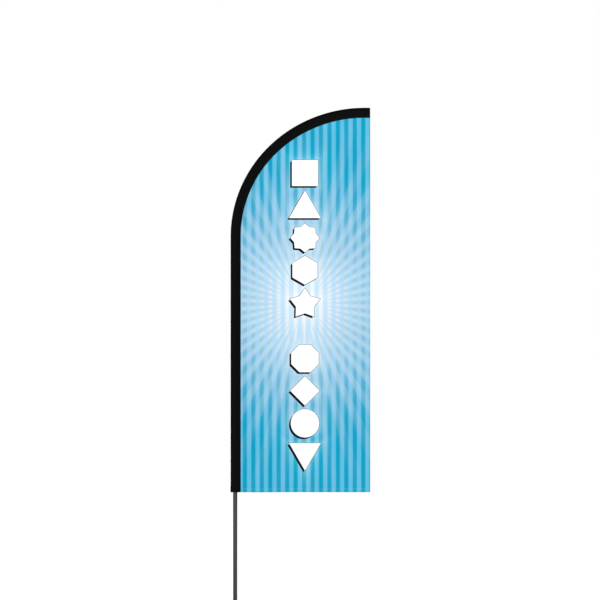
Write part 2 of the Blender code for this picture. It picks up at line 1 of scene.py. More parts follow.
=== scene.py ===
# %% [markdown]
# # A feather flag on a cross base
# This lesson dresses a finished mechanical model. The frame holds every rigid part at its real
# size: a folding base, a spindle, a sectional pole and plain stand-ins for the cloth. We add what
# makes it look real: printed cloth that hangs from its seam, a black sleeve pulled over a bent
# rod, thread, powder coat, rubber and zinc. The flag flies towards +X and its front faces -Y.

# %% Load the frame
import math

import bmesh
import bpy
import numpy as np
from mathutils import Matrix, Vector


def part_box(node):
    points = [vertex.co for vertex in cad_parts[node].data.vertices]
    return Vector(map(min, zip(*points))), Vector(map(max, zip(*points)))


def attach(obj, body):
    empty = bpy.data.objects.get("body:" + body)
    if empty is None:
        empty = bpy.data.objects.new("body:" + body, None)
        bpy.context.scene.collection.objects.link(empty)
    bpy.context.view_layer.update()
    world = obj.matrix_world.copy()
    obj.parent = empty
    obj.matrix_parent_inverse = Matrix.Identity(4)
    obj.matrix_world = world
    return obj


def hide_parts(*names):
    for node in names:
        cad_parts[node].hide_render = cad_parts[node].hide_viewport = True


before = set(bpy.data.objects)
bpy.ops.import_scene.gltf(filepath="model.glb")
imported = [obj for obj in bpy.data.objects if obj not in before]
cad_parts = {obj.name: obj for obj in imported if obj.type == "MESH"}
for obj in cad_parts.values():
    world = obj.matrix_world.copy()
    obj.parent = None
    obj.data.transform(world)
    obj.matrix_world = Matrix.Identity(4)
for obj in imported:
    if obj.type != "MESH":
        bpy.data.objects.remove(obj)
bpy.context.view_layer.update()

# %% [markdown]
# ## Sizes
# The cloth's stand-ins say where the flag is, so its outline is worked out from their corners.
# The corner at the top left is a quarter ellipse, which is how a springy rod bends when its tip is
# pulled sideways by a sleeve. Only the ellipse's two half axes and the cloth's own details are
# given as numbers.

# %% Sizes from the frame
MM = 0.001


def box_corners(node):
    return [Vector(corner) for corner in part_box(node)]


sleeve_low, sleeve_high = box_corners("pole_sleeve")
tube_low, tube_high = box_corners("lower_pole_tube")
FLAG_LEFT, FLAG_BOTTOM = sleeve_low.x, sleeve_low.z
FLAG_RIGHT, FLAG_TOP = sleeve_high.x, sleeve_high.z
CORNER_ACROSS, CORNER_DOWN = 586.2 * MM, 561.5 * MM  # the bend's half axes
CURVE_START = FLAG_TOP - CORNER_DOWN
CORNER_CENTRE = FLAG_LEFT + CORNER_ACROSS
SLEEVE_WIDTH = 44 * MM
POLE_INSET, TIP_INSET = -FLAG_LEFT, 12 * MM  # the rod's axis, in from the sleeve's fold
flag_middle = (FLAG_BOTTOM + FLAG_TOP) / 2
print("flag is", round(FLAG_RIGHT - FLAG_LEFT, 4), "by", round(FLAG_TOP - FLAG_BOTTOM, 4), "m")

# %% [markdown]
# ## Camera, floor and light
# A product like this is shot from far off with a long lens, so that its sides stay parallel. The
# camera stands level with the flag's middle. White surroundings light the cloth evenly from all
# sides. A large lamp beside the camera draws a highlight down the pole, a second one to the left
# gives the sleeve and the folds their shape, and a third lights the back. The display transform is
# the plain one, because the richer default would dull the print's clean blues.

# %% Camera
FIELD = 2.6197  # metres of the flag's plane in view
LENS, SENSOR = 200, 36
ASIDE = 1.7 * MM  # how far left of the flag's middle the camera stands
camera = bpy.data.objects.new("camera", bpy.data.cameras.new("camera"))
bpy.context.scene.collection.objects.link(camera)
camera.data.lens = LENS
camera.data.sensor_width = SENSOR
camera_distance = FIELD * LENS / SENSOR
camera.location = ((FLAG_LEFT + FLAG_RIGHT) / 2 - ASIDE, -camera_distance, flag_middle)
camera.rotation_euler = (math.pi / 2, 0, 0)
bpy.context.scene.camera = camera
bpy.context.scene.view_settings.view_transform = "Standard"
print("camera stands", round(camera_distance, 2), "m off")

# %% Surroundings and lamps
SURROUND = 0.685  # what the surroundings give the object
REFLECTED = 0.2  # what its shiny parts reflect of them
BACKDROP = 1.0  # what the camera sees of them


def make_surroundings():
    world = bpy.data.worlds.new("surroundings")
    bpy.context.scene.world = world
    world.use_nodes = True
    nodes, links = world.node_tree.nodes, world.node_tree.links
    background = nodes["Background"]
    background.inputs["Color"].default_value = (1, 1, 1, 1)
    path = nodes.new("ShaderNodeLightPath")
    below = SURROUND
    for ray, level in (("Is Glossy Ray", REFLECTED), ("Is Camera Ray", BACKDROP)):
        strength = nodes.new("ShaderNodeMapRange")
        strength.inputs["To Max"].default_value = level
        if ray == "Is Camera Ray":
            links.new(below, strength.inputs["To Min"])
        else:
            strength.inputs["To Min"].default_value = below
        links.new(path.outputs[ray], strength.inputs["Value"])
        below = strength.outputs["Result"]
    links.new(below, background.inputs["Strength"])


def make_lamp(name, place, size, power):
    lamp = bpy.data.objects.new(name, bpy.data.lights.new(name, "AREA"))
    lamp.data.shape = "DISK"
    lamp.data.size = size
    lamp.data.energy = power
    lamp.location = place
    lamp.visible_camera = False
    aim = Vector((FLAG_RIGHT / 2, 0, flag_middle)) - Vector(place)
    lamp.rotation_euler = aim.to_track_quat("-Z", "Y").to_euler()
    bpy.context.scene.collection.objects.link(lamp)


LAMPS = {  # place, size in metres, power in watts
    "key_lamp": ((-3.5, -4.5, 4.2), 2.5, 30),
    "front_lamp": ((-3.0, -15.5, 3.0), 5.0, 560),
    "back_lamp": ((3.5, 4.5, 4.2), 2.5, 70),
}
make_surroundings()
for lamp_name, lamp_facts in LAMPS.items():
    make_lamp(lamp_name, *lamp_facts)
print(len(LAMPS), "lamps")

# %% [markdown]
# ## A small language for materials
# A node tree is a formula, so we write it as one. The class below wraps an output socket, and
# Python's operators on it add Math nodes. Every other node comes from `add`, which sets a node's
# settings first and then its sockets, by name or by number.

# %% Shader maths
def operator(operation, swapped=False):
    """A method for one of Python's operators, which adds a Math node."""
    def method(self, other):
        pair = (other, self) if swapped else (self, other)
        return self.add("ShaderNodeMath", {"operation": operation}, dict(enumerate(pair)))

    return method


class Maths:
    """An output socket in a node tree that takes Python's operators."""

    def __init__(self, tree, output=None):
        self.tree = tree
        self.output = output

    def add(self, kind, settings=None, values=None, out=0):
        node = self.tree.nodes.new(kind)
        for name, setting in (settings or {}).items():
            setattr(node, name, setting)
        for name, value in (values or {}).items():
            if isinstance(value, Maths):
                self.tree.links.new(value.output, node.inputs[name])
            else:
                node.inputs[name].default_value = value
        return Maths(self.tree, node.outputs[out])

    def maths(self, operation, *others, clamp=False):
        settings = {"operation": operation, "use_clamp": clamp}
        return self.add("ShaderNodeMath", settings, dict(enumerate((self, *others))))

    __add__ = __radd__ = operator("ADD")
    __sub__, __rsub__ = operator("SUBTRACT"), operator("SUBTRACT", swapped=True)
    __mul__ = __rmul__ = operator("MULTIPLY")
    __truediv__, __rtruediv__ = operator("DIVIDE"), operator("DIVIDE", swapped=True)
    __pow__ = operator("POWER")

    def clamped(self):
        return self.maths("ADD", 0.0, clamp=True)

    def mixed(self, first, second):
        """Between two colours, with this value as the share of the second."""
        values = {0: self, 6: first, 7: second}
        return self.add("ShaderNodeMix", {"data_type": "RGBA"}, values, out=2)

    def edge(self, blur):
        """1 where this value is below 0 and 0 above it, over a soft step this wide."""
        return (0.5 - self / blur).clamped()


def split_vector(vector):
    """Its three parts."""
    split = vector.add("ShaderNodeSeparateXYZ", values={0: vector})
    return [Maths(vector.tree, output) for output in split.output.node.outputs]


def grey(level):
    return (level, level, level, 1)


def display(red, green, blue):
    """A colour as a screen shows it, from 0 to 255, as the numbers that light needs."""
    return (*(((value / 255 + 0.055) / 1.055) ** 2.4 for value in (red, green, blue)), 1)


def new_finish(name, roughness, **fixed):
    """A material, its shader and its tree's maths. The fixed sockets are the same all over."""
    material = bpy.data.materials.new(name)
    material.use_nodes = True
    shader = material.node_tree.nodes["Principled BSDF"]
    shader.inputs["Roughness"].default_value = roughness
    for socket, value in fixed.items():
        shader.inputs[socket.replace("_", " ")].default_value = value
    return material, shader, Maths(material.node_tree)


def feed(shader, socket, value):
    value.tree.links.new(value.output, shader.inputs[socket])


def bumped(maths, shader, height, depth, strength=1.0):
    values = {"Height": height, "Distance": depth, "Strength": strength}
    feed(shader, "Normal", maths.add("ShaderNodeBump", values=values))


print("shader maths ready")

# %% [markdown]
# ## The print
# Dye-sublimated polyester takes an even print. The artwork has four layers: a glow that fades from
# white to teal, pale upright stripes, a burst of rays that fades outwards, and a column of nine
# plain white shapes with a black drop shadow. All of it is drawn by formulas on the cloth's own cut
# pattern, held as a UV map in metres, so the print bends with the cloth. Layers are mixed in screen
# values, as artwork is, and a Gamma node turns the result into light.

# %% Artwork sizes
GLOW_CENTRE = (FLAG_LEFT + 320.3 * MM, FLAG_TOP - 854.6 * MM)
GLOW_RADIUS = 611 * MM
STRIPE_PERIOD = 36.91 * MM
STRIPE_PLACE = FLAG_LEFT + 80.9 * MM
STRIPE_STRENGTH, STRIPE_HARDNESS = 0.56, 6
RAY_COUNT = 46
RAY_TURN = 0.88  # of one ray's spacing
RAY_REACH = 939 * MM
RAY_STRENGTH, RAY_HARDNESS = 0.34, 5
SHAPE_COLUMN = FLAG_LEFT + 324.9 * MM
SHAPE_PITCH = 141.5 * MM
SHAPE_RADIUS = 62 * MM
SHADOW_DROP = (-7.6 * MM, -7.6 * MM)
OUTLINE = 1.6 * MM
PRINT_EDGE = 0.6 * MM  # how soft the ink's edge is
HALO, HALO_STRENGTH = 19 * MM, 0.3
FIGURES = {  # points, turn in sectors, size, waist (None for straight edges), lift
    "disc": (0, 0, 1.0, None, 0),
    "square": (4, 0.5, 1.3, None, 0),
    "triangle": (3, 0, 1.3, None, -0.24),
    "hexagon": (6, 0, 1.02, None, 0),
    "star": (5, 0, 1.12, 0.6, -0.08),
    "diamond": (4, 0, 1.04, None, 0),
    "hanging_triangle": (3, 0.5, 1.3, None, 0.24),
    "rosette": (8, 0, 1.03, 0.8, 0),
    "octagon": (8, 0.5, 1.05, None, 0),
}
GROUPS = (  # distance of each group's first shape below the flag's top, and its shapes
    (285.1 * MM, ("square", "triangle", "rosette", "hexagon", "star")),
    (1094.6 * MM, ("octagon", "diamond", "disc", "hanging_triangle")),
)


def tone(red, green, blue):
    """A screen colour for mixing with others before the Gamma node."""
    return (red / 255, green / 255, blue / 255, 1)


TEAL = tone(4, 154, 191)
PALE_BLUE = tone(163, 212, 246)
WHITE = tone(255, 255, 255)
BLACK = tone(10, 10, 12)
DARK_GREY = tone(44, 50, 56)


# %% Artwork layers
def soft_band(wave, hardness, centre):
    """Turns a wave into soft-edged bands, 1 where it is above the centre."""
    return 1 / (1 + ((wave - centre) * -hardness).maths("EXPONENT"))


def pointed(across, up, points, turn, radius, waist):
    """Distance outside a regular figure with this many points, its edges drawn in to the waist."""
    from_middle = (across * across + up * up).maths("SQRT")
    if points == 0:
        return from_middle - radius
    sector = 2 * math.pi / points
    bearing = across.maths("ARCTAN2", up) + turn * sector
    from_point = bearing - (bearing / sector).maths("ROUND") * sector
    waist_radius = radius * (waist or math.cos(sector / 2))
    waist_point = Vector((math.cos(sector / 2), math.sin(sector / 2))) * waist_radius
    edge = (waist_point - Vector((radius, 0))).normalized()
    outward, sideways = edge.y, -edge.x
    along = from_point.maths("COSINE") * from_middle - radius
    beside = from_point.maths("SINE").maths("ABSOLUTE") * from_middle
    return along * outward + beside * sideways


def shapes(across, up):
    """Distance outside the nearest of the nine shapes."""
    nearest = None
    for start, names in GROUPS:
        for number, name in enumerate(names):
            points, turn, size, waist, lift = FIGURES[name]
            height = FLAG_TOP - start - number * SHAPE_PITCH + lift * SHAPE_RADIUS
            centred = (across - SHAPE_COLUMN, up - height)
            away = pointed(*centred, points, turn, size * SHAPE_RADIUS, waist)
            nearest = away if nearest is None else nearest.maths("MINIMUM", away)
    return nearest


def artwork(maths):
    """The printed colour on the cut pattern, as light."""
    across, up, _ = split_vector(maths.add("ShaderNodeUVMap", {"uv_map": "cut"}))

    east = across - GLOW_CENTRE[0]
    north = up - GLOW_CENTRE[1]
    reach = (east * east + north * north).maths("SQRT")
    bearing = east.maths("ARCTAN2", north)
    ray_wave = (bearing * RAY_COUNT - 2 * math.pi * RAY_TURN).maths("COSINE")
    fade = (1 - (reach / RAY_REACH) ** 2.0).clamped()
    rays = soft_band(ray_wave, RAY_HARDNESS, 0) * fade * RAY_STRENGTH
    shade = (reach / GLOW_RADIUS).maths("MINIMUM", 1.0)
    white_share = 1 - shade * (1 - rays)
    late_share = white_share ** 1.7  # green and blue pale later than red, so the teal stays rich
    shares = (white_share, late_share, late_share)
    channels = [TEAL[number] + share * (1 - TEAL[number]) for number, share in enumerate(shares)]
    colour = maths.add("ShaderNodeCombineColor", values=dict(enumerate(channels)))

    stripe_wave = ((across - STRIPE_PLACE) * (2 * math.pi / STRIPE_PERIOD)).maths("COSINE")
    stripes = soft_band(stripe_wave, STRIPE_HARDNESS, -0.1) * STRIPE_STRENGTH
    colour = stripes.mixed(colour, PALE_BLUE)

    away = shapes(across, up)
    halo = (away * (-1 / HALO)).maths("EXPONENT").maths("MINIMUM", 1.0) * HALO_STRENGTH
    colour = halo.mixed(colour, WHITE)
    shadow = shapes(across - SHADOW_DROP[0], up - SHADOW_DROP[1])
    for distance, ink in ((shadow, BLACK), (away - OUTLINE, DARK_GREY), (away, WHITE)):
        colour = distance.edge(PRINT_EDGE).mixed(colour, ink)
    return colour, across, up


# %% [markdown]
# ### Knit and weave
# Flag cloth is a fine warp knit: upright ribs about a millimetre apart, with a smaller crosswise
# beat. They go to a Bump node, so light picks them out close up, and the holes between the loops
# are painted a little darker, as painted shade. Ink soaks most of the way through, so the back
# shows the same artwork in reverse and a little paler.

# %% Printed cloth
KNIT = 1.3 * MM


def knit_height(across, up):
    """From 0 in the holes between the loops to 1 on the ribs."""
    lean = (up * (2 * math.pi / (KNIT * 1.6))).maths("SINE") * 0.7
    ribs = (across * (2 * math.pi / KNIT) + lean).maths("SINE")
    beat = (up * (2 * math.pi / (KNIT * 0.8))).maths("SINE")
    return ribs * 0.3 + beat * 0.2 + 0.5


def printed_cloth(name, paleness):
    material, shader, maths = new_finish(name, 0.82, Sheen_Weight=0.04, Specular_IOR_Level=0.1)
    colour, across, up = artwork(maths)
    if paleness:
        values = {0: paleness, 6: colour, 7: WHITE}
        colour = maths.add("ShaderNodeMix", {"data_type": "RGBA"}, values, out=2)
    light = maths.add("ShaderNodeGamma", values={"Color": colour, "Gamma": 2.2})
    knit = knit_height(across, up)
    # Painted shade: the colour is darkened in the holes between the knit's loops.
    painted_hole_shade = (1 - knit) ** 2.0 * 0.16
    feed(shader, "Base Color", painted_hole_shade.mixed(light, grey(0.05)))
    bumped(maths, shader, knit, 0.25 * MM, 0.7)
    return material


front_print = printed_cloth("front_print", 0.0)
back_print = printed_cloth("back_print", 0.14)
print("print nodes", len(front_print.node_tree.nodes))

# %% [markdown]
# ### Black sleeve cloth, thread and the hard finishes
# The sleeve is a heavier plain weave, dyed black. Powder coat has a fine orange-peel skin, dulls
# where boots and hands rub it, and chips to bright steel along the sharp edges of the hub's plates
# and the legs. Those edges are found from each part's own sizes. Zinc plate is cloudy, anodised
# tube is satin with faint drawing lines along it, and rubber is matt with a moulded grain. Each is
# one short function.

# %% Other finishes
LEG_HALF, LEG_MIDDLE = 12.5 * MM, 20 * MM  # half a leg's width, and how high its axis is
PLATE_HALF, PLATE_CUT = 62 * MM, 16 * MM  # half a hub plate's width, and what its corners lose
PLATE_MIDDLES = (5 * MM, 35 * MM)
CHIP_REACH, CHIP_BLUR = 1.5 * MM, 1.1 * MM  # how far in from an edge paint chips, and how softly


def own_place(maths):
    """Coordinates on the piece, in metres."""
    return maths.add("ShaderNodeTexCoord", out=3)


def cloud(maths, scale, detail=3.0, place=None):
    values = {"Vector": place or own_place(maths), "Scale": scale, "Detail": detail}
    return maths.add("ShaderNodeTexNoise", values=values)


def split_place(maths):
    return split_vector(own_place(maths))


def black_cloth():
    material, shader, maths = new_finish("black_cloth", 0.62, Specular_IOR_Level=0.045)
    x, _, z = split_place(maths)
    thread = 2 * math.pi / (1.0 * MM)
    weave = (x * thread).maths("SINE") * (z * thread).maths("SINE") * 0.5 + 0.5
    patches = cloud(maths, 9.0)
    # Random tone patches, plus painted shade: lighter on the weave's raised crossings and darker
    # between them.
    tone_and_weave_shade = (patches * 0.4 + weave * 0.6).clamped()
    feed(shader, "Base Color", tone_and_weave_shade.mixed(grey(0.0006), grey(0.0045)))
    feed(shader, "Roughness", patches * 0.2 + 0.55)
    bumped(maths, shader, weave, 0.22 * MM, 0.7)
    return material


def thread_finish(name, colour):
    material, shader, maths = new_finish(name, 0.6, Specular_IOR_Level=0.2)
    twist = cloud(maths, 1500.0, 1.0)
    darker = tuple(channel * 0.7 for channel in colour[:3]) + (1,)
    # Painted shade: the thread is darker where the twist's bump dips.
    feed(shader, "Base Color", twist.mixed(darker, colour))
    bumped(maths, shader, twist, 0.1 * MM, 0.5)
    return material


def leg_edges(maths):
    """1 along the four long edges of the square legs, which lie on the diagonals."""
    x, y, z = split_place(maths)
    across = (x.maths("ABSOLUTE") - y.maths("ABSOLUTE")) * math.sqrt(0.5)
    nearest = across.maths("ABSOLUTE").maths("MINIMUM", (z - LEG_MIDDLE).maths("ABSOLUTE"))
    return ((nearest - (LEG_HALF - CHIP_REACH)) / CHIP_BLUR).clamped()


def plate_edges(maths):
    """1 along the upper and lower edges of the hub plates' rims and cut corners."""
    x, y, z = (part.maths("ABSOLUTE") for part in split_place(maths))
    side = x.maths("MAXIMUM", y) - PLATE_HALF
    cut_corner = (x + y - (2 * PLATE_HALF - PLATE_CUT)) * math.sqrt(0.5)
    rim = ((side.maths("MAXIMUM", cut_corner) + CHIP_REACH) / CHIP_BLUR).clamped()
    lower, upper = ((z - height).maths("ABSOLUTE") for height in PLATE_MIDDLES)
    face = ((lower.maths("MINIMUM", upper) - 1.2 * MM) / (0.6 * MM)).clamped()
    return rim * face


def powder_coat(name, edges=None):
    """Black powder coat. Where edges says so, it is worn through in patches to bright steel."""
    material, shader, maths = new_finish(name, 0.45, Specular_IOR_Level=0.45)
    peel = cloud(maths, 900.0, 2.0)
    rubbed = ((cloud(maths, 35.0, 6.0) - 0.58) * 6).clamped()
    colour = (rubbed * 0.5).mixed(grey(0.012), grey(0.035))
    roughness = rubbed * 0.2 + 0.38 + peel * 0.08
    if edges:
        worn = ((edges(maths) * 0.55 + cloud(maths, 130.0, 5.0) - 1.02) * 9).clamped()
        colour = worn.mixed(colour, grey(0.14))
        roughness = roughness - worn * 0.12
        feed(shader, "Metallic", worn * 0.7)
    feed(shader, "Base Color", colour)
    feed(shader, "Roughness", roughness)
    bumped(maths, shader, peel, 0.12 * MM, 0.35)
    return material


def anodised_tube():
    material, shader, maths = new_finish("anodised_tube", 0.3, Specular_IOR_Level=0.6)
    x, y, z = split_place(maths)
    around = x.maths("ARCTAN2", y)
    lines = maths.add("ShaderNodeCombineXYZ", values={0: around * 40, 1: z * 1.5, 2: 0.0})
    drawn = cloud(maths, 6.0, 4.0, lines)
    feed(shader, "Base Color", drawn.mixed(grey(0.009), grey(0.02)))
    feed(shader, "Roughness", drawn * 0.14 + 0.24)
    bumped(maths, shader, drawn, 0.05 * MM, 0.25)
    return material


def metal(name, dark, bright, roughness, scale):
    material, shader, maths = new_finish(name, roughness, Metallic=1.0)
    patches = cloud(maths, scale, 5.0)
    fine = cloud(maths, scale * 12, 2.0)
    feed(shader, "Base Color", patches.mixed(dark, bright))
    feed(shader, "Roughness", patches * 0.2 + (roughness - 0.1))
    bumped(maths, shader, fine, 0.04 * MM, 0.3)
    return material


def moulded(name, level, roughness, grain, depth):
    material, shader, maths = new_finish(name, roughness, Specular_IOR_Level=0.4)
    speckle = cloud(maths, grain, 3.0)
    dust = (cloud(maths, 60.0, 4.0) - 0.5).clamped()
    feed(shader, "Base Color", dust.mixed(grey(level), grey(level * 2.2)))
    feed(shader, "Roughness", speckle * 0.15 + (roughness - 0.07))
    bumped(maths, shader, speckle, depth, 0.5)
    return material


sleeve_cloth = black_cloth()
pale_thread = thread_finish("pale_thread", display(206, 228, 238))
black_thread = thread_finish("black_thread", grey(0.008))
black_coat = powder_coat("powder_coat")
leg_coat = powder_coat("leg_coat", leg_edges)
plate_coat = powder_coat("plate_coat", plate_edges)
satin_tube = anodised_tube()
zinc = metal("zinc", (0.45, 0.46, 0.47, 1), (0.68, 0.69, 0.68, 1), 0.36, 90.0)
steel = metal("polished_steel", grey(0.5), grey(0.62), 0.2, 60.0)
raw_aluminium = metal("raw_aluminium", grey(0.6), grey(0.74), 0.35, 120.0)
rubber = moulded("rubber", 0.016, 0.82, 700.0, 0.15 * MM)
plastic = moulded("black_plastic", 0.014, 0.5, 1100.0, 0.06 * MM)
fibre = moulded("glass_fibre", 0.02, 0.42, 400.0, 0.05 * MM)
print(len(bpy.data.materials), "finishes")

# %% [markdown]
# ## How the cloth hangs
# The panel is sewn to the sleeve along its left side and its curved top, and the rest hangs free.
# The stitched edge is pulled a little short by the thread, so slack gathers beside it. We let
# Blender's Cloth find those folds on a coarse lattice: the seam is pinned, the cloth is made a
# fraction larger than its outline, and gravity does the rest. Only the depth of the folds is kept,
# as a height field that every later piece of cloth and thread is laid on, so they always agree.

# %% The flag's outline
def edge_point(t, inset):
    """(x, z) on the curved edge, t from 0 where the pole starts to bend to 1 at the top."""
    angle = math.pi * (1 - t / 2)
    x = CORNER_CENTRE + CORNER_ACROSS * math.cos(angle)
    z = CURVE_START + CORNER_DOWN * math.sin(angle)
    inward = -Vector((math.cos(angle) / CORNER_ACROSS, math.sin(angle) / CORNER_DOWN)).normalized()
    return x + inset * inward.x, z + inset * inward.y


def seam_left(z, inset):
    """x of the curved edge at this height, this far inside it."""
    if z <= CURVE_START:
        return FLAG_LEFT + inset
    low, high = 0.0, 1.0
    for _ in range(30):
        t = (low + high) / 2
        if edge_point(t, inset)[1] < z:
            low = t
        else:
            high = t
    return edge_point(low, inset)[0]


TUCK = 6 * MM  # how far the panel goes into the sleeve's seam
SEAM = SLEEVE_WIDTH - TUCK
PANEL_TOP = FLAG_TOP - SEAM
CELL = 13 * MM
FOLD_DEPTH, FOLD_GAIN = 7 * MM, 1.35
SMOOTHINGS = 22
HELD_FLAT = 30 * MM  # how far from the seam the folds reach their full depth
CLOTH_FRAMES = 60
UNEVEN = 0.6 * MM  # how far the cloth starts from flat, at random, so that it has a way to fold
CLOTH_SETTINGS = {
    "quality": 6,
    "mass": 0.002,
    "tension_stiffness": 20,
    "compression_stiffness": 20,
    "shear_stiffness": 4,
    "bending_stiffness": 8,
    "air_damping": 2,
    "vertex_group_mass": "seam",
    "shrink_min": -0.006,  # below zero it grows
}
print("seam's top", [round(value, 4) for value in edge_point(1, SEAM)])


# %% Cloth simulation of the folds
def settle(columns, rows, inside):
    """Runs the cloth and returns how far each lattice point moved out of the flag's plane."""
    rng = np.random.default_rng(7)
    number = -np.ones(inside.shape, int)
    number[inside] = np.arange(inside.sum())
    flat = [(x, 0.0, z) for z, row in zip(rows, inside) for x, keep in zip(columns, row) if keep]
    start = [(x, float(rng.normal(0, UNEVEN)), z) for x, _, z in flat]
    faces = []
    for j in range(len(rows) - 1):
        for i in range(len(columns) - 1):
            corners = (number[j, i], number[j, i + 1], number[j + 1, i + 1], number[j + 1, i])
            if min(corners) >= 0:
                faces.append(tuple(int(corner) for corner in corners))
    mesh = bpy.data.meshes.new("drape")
    mesh.from_pydata(start, [], faces)
    drape = bpy.data.objects.new("drape", mesh)
    bpy.context.scene.collection.objects.link(drape)
    pins = drape.vertex_groups.new(name="seam")
    sewn = [k for k, (x, _, z) in enumerate(flat) if x < seam_left(z, SEAM) + CELL]
    pins.add(sewn, 1.0, "REPLACE")
    for k in sewn:
        mesh.vertices[k].co.y = 0
    cloth = drape.modifiers.new("cloth", "CLOTH")
    for name, value in CLOTH_SETTINGS.items():
        setattr(cloth.settings, name, value)
    cloth.collision_settings.use_collision = False
    cloth.point_cache.frame_end = CLOTH_FRAMES
    for step in range(1, CLOTH_FRAMES + 1):
        bpy.context.scene.frame_set(step)
    settled = drape.evaluated_get(bpy.context.evaluated_depsgraph_get()).data
    depth = np.zeros(inside.shape)
    depth[inside] = [vertex.co.y for vertex in settled.vertices]
    bpy.context.scene.frame_set(1)
    bpy.data.objects.remove(drape)
    return depth


def fold_field():
    """Depths of the folds on a lattice, smoothed, and held to the space the cloth has."""
    columns = np.arange(FLAG_LEFT, FLAG_RIGHT + CELL, CELL)
    rows = np.arange(FLAG_BOTTOM, FLAG_TOP + CELL, CELL)
    inside = np.array([
        [x > seam_left(z, SEAM) - CELL and z < PANEL_TOP + CELL for x in columns] for z in rows
    ])
    depth = settle(columns, rows, inside)
    print("folds before holding", round(float(np.abs(depth).max()) / MM, 2), "mm")
    for _ in range(SMOOTHINGS):
        padded = np.pad(depth, 1, mode="edge")
        beside = padded[1:-1, :-2] + padded[1:-1, 2:] + padded[:-2, 1:-1] + padded[2:, 1:-1]
        depth = depth / 2 + beside / 8
    return columns, rows, FOLD_DEPTH * np.tanh(FOLD_GAIN * depth / FOLD_DEPTH)


FOLD_COLUMNS, FOLD_ROWS, FOLDS = fold_field()


# %% Reading the folds
def eased(share):
    """From 0 to 1 with a slow start and end, for a share of the way that is held to 0 to 1."""
    share = min(max(share, 0), 1)
    return share * share * (3 - 2 * share)


def cubic(before, here, after, beyond, share):
    """Smooth curve through here and after."""
    slope_here = (after - before) / 2
    slope_after = (beyond - here) / 2
    lift = here - after
    square = -3 * lift - 2 * slope_here - slope_after
    cube = 2 * lift + slope_here + slope_after
    return here + share * (slope_here + share * (square + share * cube))


def fold_depth(x, z):
    """How far the cloth stands out of the flag's plane here. It is zero at the seam."""
    across = (x - FOLD_COLUMNS[0]) / CELL
    up = (z - FOLD_ROWS[0]) / CELL
    last_column, last_row = len(FOLD_COLUMNS) - 1, len(FOLD_ROWS) - 1
    i, j = int(math.floor(across)), int(math.floor(up))
    lines = []
    for row in range(j - 1, j + 3):
        row = min(max(row, 0), last_row)
        points = [FOLDS[row, min(max(column, 0), last_column)] for column in range(i - 1, i + 3)]
        lines.append(cubic(*points, across - i))
    depth = cubic(*lines, up - j)
    return float(depth) * eased((x - seam_left(z, SLEEVE_WIDTH)) / HELD_FLAT)


print("fold at the free edge's middle", round(fold_depth(FLAG_RIGHT, 1.2) / MM, 2), "mm")


# %% [markdown]
# ## The panel
# The panel is one sheet, so it is one grid: its rows start at stations along the seam and run
# level to the free edge. That keeps the edge at the curved sleeve exact and gives no slivers. The
# grid has a front and a back layer, 0.8 mm apart, with the artwork on the front and its paler
# reverse on the back.

# %% Mesh helpers
def new_piece(name, points, faces, materials, body, slot, smooth=True):
    mesh = bpy.data.meshes.new(name)
    mesh.from_pydata([tuple(point) for point in points], [], faces)
    for material in materials:
        mesh.materials.append(material)
    mesh.polygons.foreach_set("use_smooth", [smooth] * len(mesh.polygons))
    piece = bpy.data.objects.new(name, mesh)
    bpy.context.scene.collection.objects.link(piece)
    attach(piece, body)
    return piece


def sheet_grid(rows, thickness, place):
    """A closed sheet from rows of (across, up) on the cut pattern.

    place gives a point in space for a place on the pattern and a depth behind the front face.
    Returns points, faces, how many faces make the front, and each point's place on the pattern."""
    width, height = len(rows[0]), len(rows)
    pattern = [spot for row in rows for spot in row]
    front = [place(*spot, 0.0) for spot in pattern]
    back = [place(*spot, thickness) for spot in pattern]
    count = width * height
    faces = []
    for j in range(height - 1):
        for i in range(width - 1):
            a = j * width + i
            faces.append((a, a + 1, a + width + 1, a + width))
    front_count = len(faces)
    faces += [tuple(count + k for k in reversed(face)) for face in faces]
    rim = list(range(width)) + [j * width + width - 1 for j in range(1, height)]
    rim += [(height - 1) * width + i for i in range(width - 2, -1, -1)]
    rim += [j * width for j in range(height - 2, 0, -1)]
    for a, b in zip(rim, rim[1:] + rim[:1]):
        faces.append((b, a, count + a, count + b))
    return front + back, faces, front_count, pattern + pattern


def set_pattern(piece, spots):
    """Writes the cut pattern as a UV map in metres."""
    layer = piece.data.uv_layers.new(name="cut")
    for loop in piece.data.loops:
        layer.data[loop.index].uv = spots[loop.vertex_index]


# %% The printed panel
CLOTH = 0.8 * MM
STRAIGHT_ROWS = 130
CURVE_ROWS = 84
PANEL_COLUMNS = 66


def panel_point(x, z, behind):
    return (x, fold_depth(x, z) + behind - CLOTH / 2, z)


def panel_rows():
    rise = (CURVE_START - FLAG_BOTTOM) / STRAIGHT_ROWS
    stations = [(FLAG_LEFT + SEAM, FLAG_BOTTOM + rise * k) for k in range(STRAIGHT_ROWS)]
    stations += [edge_point((k / CURVE_ROWS) ** 0.93, SEAM) for k in range(CURVE_ROWS + 1)]
    shares = [i / PANEL_COLUMNS for i in range(PANEL_COLUMNS + 1)]
    return [[(left + (FLAG_RIGHT - left) * share, z) for share in shares] for left, z in stations]


def make_panel():
    rows = panel_rows()
    points, faces, front_count, spots = sheet_grid(rows, CLOTH, panel_point)
    prints = [front_print, back_print]
    panel = new_piece("printed_panel", points, faces, prints, "flag", "printed_cloth")
    for face in panel.data.polygons[front_count:2 * front_count]:
        face.material_index = 1
    set_pattern(panel, spots)
    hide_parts("flag_panel")
    area = sum(face.area for face in panel.data.polygons[:front_count])
    print("panel faces", len(faces), "area", round(area, 4), "square metres")
    return panel, area


panel, panel_area = make_panel()

# %% [markdown]
# ## Hems
# The two free edges are turned to the back and stitched down, or the knit would curl. Each hem is
# a strip of the same cloth whose artwork runs on round the fold, so its pattern coordinates count
# backwards from the edge. The strips meet at the corner in a mitre, which is how a sailmaker keeps
# the corner from being four layers thick.

# %% The hems
HEM = 17 * MM
HEM_ROWS = 5
HEM_GAP = 0.05 * MM  # between the panel's back and the hem


